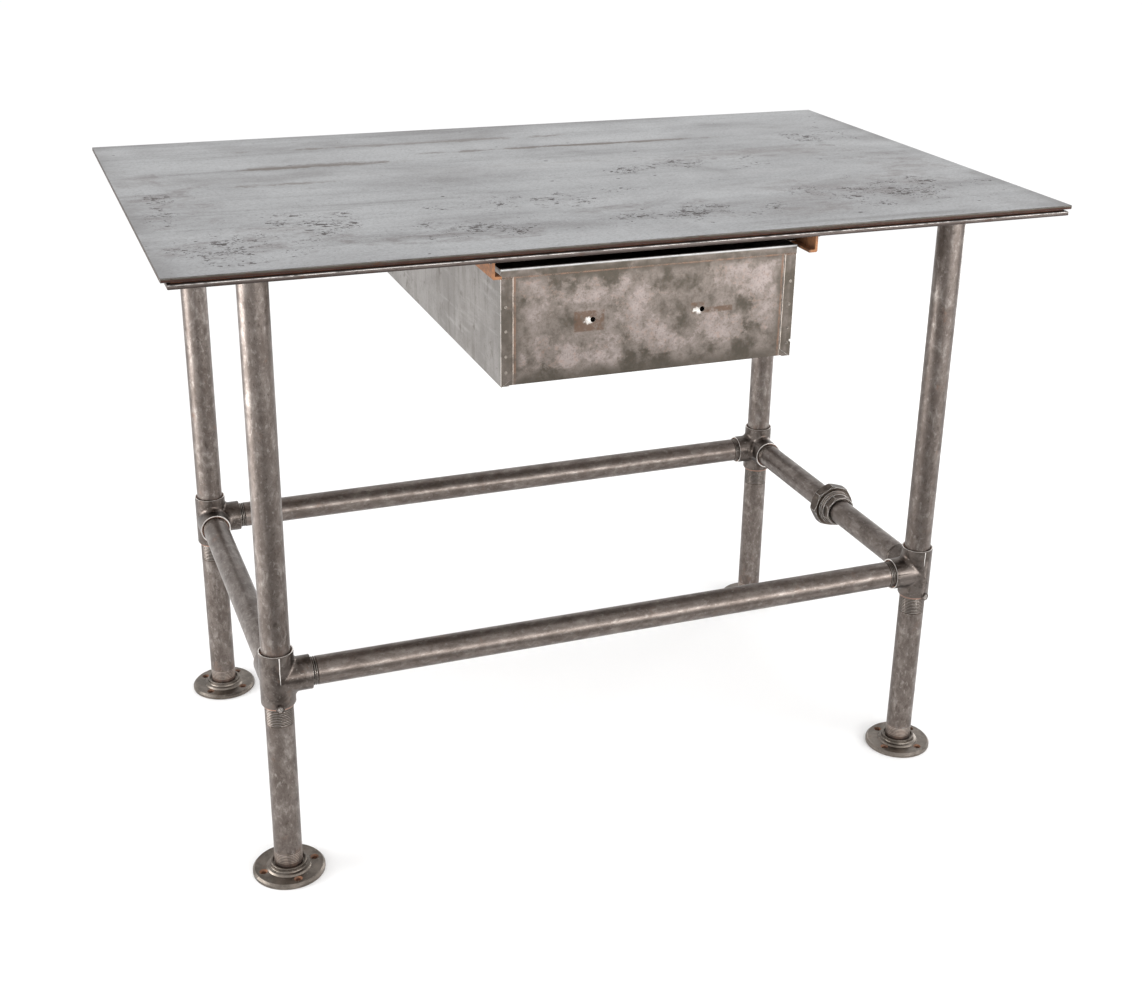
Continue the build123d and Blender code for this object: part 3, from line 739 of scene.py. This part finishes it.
# the rust in a tee's mouth starts before its rim, and reaches beyond its depth and around its bore
teeSettings = {"bevel": 0.00066, "before": 0.0005, "beyond": 0.001, "around": 0.0002, "rim": 0.0003}
flangeSettings = {
    "bevel": 0.0005,
    "holeRing": (0.0268, 0.0372),  # the screw holes lie between these distances from the leg
    "plateTop": 0.0061,
}
screwSettings = {"bevel": 0.0003}
unionSettings = {"bevel": 0.0008, "angle": 20.0}
for corner in corners:
    # the tee's worn edges take the rim finish, brightened as a painted highlight
    tee = refine("tee_" + corner, "tee", "rim", teeSettings["bevel"])
    centre = teeCentre[corner]
    outlets = ((2, teeHalf), (2, -teeHalf),
               (0, -math.copysign(teeReach, centre.x)), (1, -math.copysign(teeReach, centre.y)))

    def inMouth(spot, normal):
        away = spot - centre
        for axis, end in outlets:
            first, second = across(axis)
            deep = abs(end) - away[axis] * math.copysign(1, end)
            if (-teeSettings["before"] < deep < mouthDepth + teeSettings["beyond"]
                    and math.hypot(away[first], away[second]) < mouthRadius + teeSettings["around"]):
                return True
        return False

    def onMouthRim(spot, normal):
        away = spot - centre
        return any(abs(normal[axis]) > 0.9 and abs(away[axis] - end) < teeSettings["rim"]
                   for axis, end in outlets)

    # rust inside the mouths, partly real rust and partly painted fill light in the recess
    paintFaces(tee, "mouth", inMouth)
    # the flat mouth rims take the rim finish: a painted highlight line
    paintFaces(tee, "rim", onMouthRim)
    flange = refine("floor_flange_" + corner, "flange", "flangeRim", flangeSettings["bevel"])

    def inBoltHole(spot, normal):
        away = spot - legAxis[corner]
        near, far = flangeSettings["holeRing"]
        return (near < math.hypot(away.x, away.y) < far and abs(normal.z) < 0.85
                and spot.z < flangeSettings["plateTop"])

    paintFaces(flange, "boltHole", inBoltHole)
    refine("set_screw_" + corner, "screw", "rim", screwSettings["bevel"], 1)
for name in ("union_tail", "union_nut", "union_body"):
    refine(name, "union", "rim", unionSettings["bevel"], 2, unionSettings["angle"])
print("fittings finished")

drawerSettings = {"bevel": 0.0003, "sideBevel": 0.0004, "tabDepth": 0.002}
refine("drawer_front", "drawerFront", "sheetEdge", drawerSettings["bevel"], 1)
for name in ("drawer_side_left", "drawer_side_right"):
    side = refine(name, "drawerSheet", "sheetEdge", drawerSettings["sideBevel"], 1)
    paintFaces(side, "drawerFront",
               lambda spot, normal: normal.y < -0.9 and spot.y < frontLow.y + drawerSettings["tabDepth"])
for name in ("drawer_bottom", "drawer_back"):
    refine(name, "drawerSheet", "sheetEdge", drawerSettings["bevel"], 1)
for name in ("runner_left", "runner_right", "drawer_stop"):
    refine(name, "runner", None, drawerSettings["bevel"], 1)
print("drawer finished")

beadSettings = {
    "ripple": 0.0021,  # size of one ripple of weld
    "stretch": (0.992, 1.25, 1.0),  # along the bead, across it and up
    "step": 0.0030,  # distance from one ripple to the next
    "vary": 0.15,  # how much the ripples differ in size and heading
    "legOut": 0.0010,
    "legDrop": 0.0012,
    "seed": 4,
}


def weldRipple():
    # one puddle of weld: a ball stretched across the bead
    bpy.ops.object.select_all(action="DESELECT")
    bpy.ops.mesh.primitive_ico_sphere_add(subdivisions=2, radius=beadSettings["ripple"])
    ripple = bpy.context.object
    ripple.name = "weldRipplePattern"
    bpy.ops.object.mode_set(mode="EDIT")
    bpy.ops.mesh.select_all(action="SELECT")
    bpy.ops.transform.resize(value=beadSettings["stretch"])
    bpy.ops.object.mode_set(mode="OBJECT")
    ripple.data.materials.append(materials["weld"])
    return ripple


def beadAlong(name, places):
    # copies of the ripple at (point, heading) places, joined into one bead
    rng = random.Random(beadSettings["seed"])
    vary = beadSettings["vary"]
    copies = []
    for point, heading in places:
        copy = ripplePattern.copy()
        copy.data = ripplePattern.data.copy()
        bpy.context.scene.collection.objects.link(copy)
        grow = rng.uniform(1 - vary, 1 + vary)
        swing = heading + rng.uniform(-vary, vary)
        copy.data.transform(Matrix.Translation(point) @ Matrix.Rotation(swing, 4, "Z")
                            @ Matrix.Scale(grow, 4))
        copies.append(copy)
    workOn(copies[0])
    for copy in copies:
        copy.select_set(True)
    bpy.ops.object.join()
    bead = bpy.context.object
    bead.name = name
    bpy.ops.object.shade_smooth_by_angle(angle=math.radians(50))
    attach(bead, "table")
    return bead


ripplePattern = weldRipple()
for corner in corners:
    ringRadius = pipeRadius + beadSettings["legOut"]
    count = int(2 * math.pi * ringRadius / beadSettings["step"])
    ring = []
    for turn in range(count):
        angle = 2 * math.pi * turn / count
        out = Vector((math.cos(angle), math.sin(angle), 0)) * ringRadius
        drop = Vector((0, 0, underLow.z - beadSettings["legDrop"]))
        ring.append((legAxis[corner] + out + drop, angle + math.pi / 2))
    bead = beadAlong("leg_weld_" + corner + "_finished", ring)
    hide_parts("leg_weld_" + corner)

stitchSettings = {"length": 0.024, "starts": (0.0015, 0.150, 0.300, 0.450), "out": 0.0012, "down": 0.0012}
for side, out in (("left", -1), ("right", 1)):
    low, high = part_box("runner_" + side)
    outer = low.x if side == "left" else high.x
    x = outer + out * stitchSettings["out"]
    z = high.z - stitchSettings["down"]
    stitch = []
    for start in stitchSettings["starts"]:
        for step in range(int(stitchSettings["length"] / beadSettings["step"])):
            y = low.y + start + step * beadSettings["step"]
            stitch.append((Vector((x, y, z)), math.pi / 2))
    beadAlong("runner_stitches_" + side, stitch)
bpy.data.objects.remove(ripplePattern)
print("weld beads laid")

spotSettings = {
    "radius": 0.0017,
    "height": 0.0005,
    "ring": 0.0007,  # width of the raised ring
    "dimple": 0.0004,
    "wear": 0.00015,
    "heights": (0.697, 0.670, 0.642, 0.624),  # above the floor
    "inset": 0.0055,  # from the drawer's side
    "sink": 0.0001,
}


def spotWeld(name, x, y, z):
    # a shallow pressed spot with a raised ring
    bpy.ops.object.select_all(action="DESELECT")
    bpy.ops.mesh.primitive_cylinder_add(vertices=20, radius=spotSettings["radius"],
                                        depth=spotSettings["height"] * 2)
    spot = bpy.context.object
    spot.name = name
    bpy.ops.object.mode_set(mode="EDIT")
    bpy.ops.mesh.select_mode(type="FACE")
    bpy.ops.mesh.select_all(action="DESELECT")
    bpy.ops.object.mode_set(mode="OBJECT")
    for polygon in spot.data.polygons:
        polygon.select = polygon.normal.z > 0.9
    bpy.ops.object.mode_set(mode="EDIT")
    bpy.ops.mesh.inset(thickness=spotSettings["ring"])
    bpy.ops.transform.resize(value=(0.9, 0.9, 1.0))
    bpy.ops.mesh.inset(thickness=0.0005, depth=-spotSettings["dimple"])
    bpy.ops.object.mode_set(mode="OBJECT")
    spot.data.materials.append(materials["spotWeld"])
    wearEdges(spot, spotSettings["wear"], 2, 30, None)
    spot.data.transform(Matrix.Translation((x, y, z)) @ Matrix.Rotation(math.pi / 2, 4, "X"))
    bpy.ops.object.shade_smooth_by_angle(angle=math.radians(60))
    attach(spot, "drawer")


for side, out in (("left", -1), ("right", 1)):
    x = out * (frontHigh.x - spotSettings["inset"])
    for number, z in enumerate(spotSettings["heights"]):
        spotWeld(f"spot_weld_{side}_{number + 1}", x, frontLow.y + spotSettings["sink"], z)
print("spot welds pressed")

seamSettings = {
    "width": 0.0011,
    "proud": 0.0004,
    "below": 0.0008,  # from the top of the tee
    "taper": 0.6,
    "sway": 0.00015,
    "lengths": {"front_left": 0.034, "front_right": 0.020, "rear_left": 0.030, "rear_right": 0.026},
}


def castingSeam(corner, length):
    # the thin fin that the mould left, from the top rim down, opposite the side rail's outlet
    side = math.copysign(1, legAxis[corner].y)
    half = seamSettings["width"] / 2
    bpy.ops.object.select_all(action="DESELECT")
    bpy.ops.mesh.primitive_cylinder_add(vertices=12, radius=half, depth=length)
    seam = bpy.context.object
    seam.name = "casting_seam_" + corner
    bpy.ops.object.mode_set(mode="EDIT")
    bpy.ops.mesh.select_all(action="SELECT")
    bpy.ops.mesh.subdivide(number_cuts=6)
    bpy.ops.object.mode_set(mode="OBJECT")
    for vertex in seam.data.vertices:
        down = 0.5 - vertex.co.z / length
        taper = 1.0 - seamSettings["taper"] * down ** 3
        vertex.co.x = vertex.co.x * taper + math.sin(down * 9.0) * seamSettings["sway"]
        vertex.co.y = vertex.co.y * taper
    # the fin takes the rim finish: a painted highlight line along it
    seam.data.materials.append(materials["rim"])
    out = side * (teeRadius + seamSettings["proud"] - half)
    up = teeHalf - seamSettings["below"] - length / 2
    seam.data.transform(Matrix.Translation(teeCentre[corner] + Vector((0, out, up))))
    bpy.ops.object.shade_smooth_by_angle(angle=math.radians(50))
    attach(seam, "table")


for corner, length in seamSettings["lengths"].items():
    castingSeam(corner, length)

# two small cast blisters that the mould left on the right-hand front tee
blisterSettings = {
    "radius": 0.0017,
    "proud": 0.0009,
    "tall": 1.25,
    "spots": ((-78, -0.004), (-64, -0.012)),  # degrees round the tee, and height from its middle
}
blisterSquash = (blisterSettings["proud"] / blisterSettings["radius"], 1.0, blisterSettings["tall"])
for number, (turn, height) in enumerate(blisterSettings["spots"]):
    bpy.ops.object.select_all(action="DESELECT")
    bpy.ops.mesh.primitive_uv_sphere_add(segments=16, ring_count=10, radius=blisterSettings["radius"])
    blister = bpy.context.object
    blister.name = f"casting_blister_{number + 1}"
    bpy.ops.object.mode_set(mode="EDIT")
    bpy.ops.mesh.select_all(action="SELECT")
    bpy.ops.transform.resize(value=blisterSquash)
    bpy.ops.object.mode_set(mode="OBJECT")
    blister.data.materials.append(materials["tee"])
    around = math.radians(turn)
    out = Vector((math.cos(around) * teeRadius, math.sin(around) * teeRadius, height))
    blister.data.transform(Matrix.Translation(teeCentre["front_right"] + out)
                           @ Matrix.Rotation(around, 4, "Z"))
    bpy.ops.object.shade_smooth_by_angle(angle=math.radians(60))
    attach(blister, "table")
print("casting marks raised")

stageSettings = {
    "floorSize": 40.0,
    "floorColour": (0.97, 0.97, 0.97),
    "worldColour": (1.0, 1.0, 1.0),
    "worldStrength": 1.05,
}
bpy.ops.object.select_all(action="DESELECT")
bpy.ops.mesh.primitive_plane_add(size=stageSettings["floorSize"], location=(0, 0, 0))
floor = bpy.context.object
floor.name = "studioFloor"
floor.data.materials.append(plainPaint("paleFloor", stageSettings["floorColour"]))

world = bpy.data.worlds.new("studio")
bpy.context.scene.world = world
world.use_nodes = True
world.node_tree.nodes["Background"].inputs["Color"].default_value = (*stageSettings["worldColour"], 1.0)
world.node_tree.nodes["Background"].inputs["Strength"].default_value = stageSettings["worldStrength"]

lights = {
    "lowLeft": {"place": (-2.1, 0.10, 0.45), "aim": (0, -0.1, 0.40), "size": (1.1, 0.9), "power": 31},
    "frontBar": {"place": (1.0, -2.3, 0.68), "aim": (0.1, -0.1, 0.30), "size": (3.0, 0.14), "power": 46},
    "rimRight": {"place": (2.2, 0.9, 0.5), "aim": (0, 0, 0.4), "size": (0.9, 0.8), "power": 13},
}
for name, setting in lights.items():
    data = bpy.data.lights.new(name, "AREA")
    data.shape = "RECTANGLE"
    data.size, data.size_y = setting["size"]
    data.energy = setting["power"]
    lamp = bpy.data.objects.new(name, data)
    bpy.context.scene.collection.objects.link(lamp)
    lamp.location = setting["place"]
    aim = Vector(setting["aim"]) - Vector(setting["place"])
    lamp.rotation_euler = aim.to_track_quat("-Z", "Y").to_euler()

# a grey card on the floor before the desk darkens the reflections in the pipes
cardSettings = {"low": (-0.85, -2.6), "high": (1.05, -0.62), "height": 0.004, "shade": 0.10}
bpy.ops.object.select_all(action="DESELECT")
bpy.ops.mesh.primitive_plane_add(size=1.0)
card = bpy.context.object
card.name = "reflectionCard"
cardSize = [cardSettings["high"][axis] - cardSettings["low"][axis] for axis in (0, 1)]
cardMiddle = [(cardSettings["high"][axis] + cardSettings["low"][axis]) / 2 for axis in (0, 1)]
cardPlace = Matrix.Translation((*cardMiddle, cardSettings["height"]))
card.data.transform(cardPlace @ Matrix.Diagonal((*cardSize, 1.0, 1.0)))
card.data.materials.append(plainPaint("greyCard", (cardSettings["shade"],) * 3))
card.visible_camera = False
card.visible_diffuse = False
card.visible_shadow = False

cameraSettings = {
    "place": (-0.690, -1.856, 1.196),
    "tilt": 67.33,
    "turn": -21.93,
    "roll": 1.24,
    "lens": 50.96,
    "shift": (-0.0215, -0.0230),
}
cameraData = bpy.data.cameras.new("camera")
cameraData.sensor_width = 36.0
cameraData.lens = cameraSettings["lens"]
cameraData.shift_x, cameraData.shift_y = cameraSettings["shift"]
cameraData.clip_end = 100.0
camera = bpy.data.objects.new("camera", cameraData)
bpy.context.scene.collection.objects.link(camera)
camera.location = cameraSettings["place"]
aimed = Euler((math.radians(cameraSettings["tilt"]), 0, math.radians(cameraSettings["turn"]))).to_matrix()
rolled = aimed @ Matrix.Rotation(math.radians(cameraSettings["roll"]), 3, "Z")
camera.rotation_euler = rolled.to_euler()
bpy.context.scene.camera = camera
bpy.context.scene.view_settings.view_transform = "Standard"
print("stage, light and camera set")
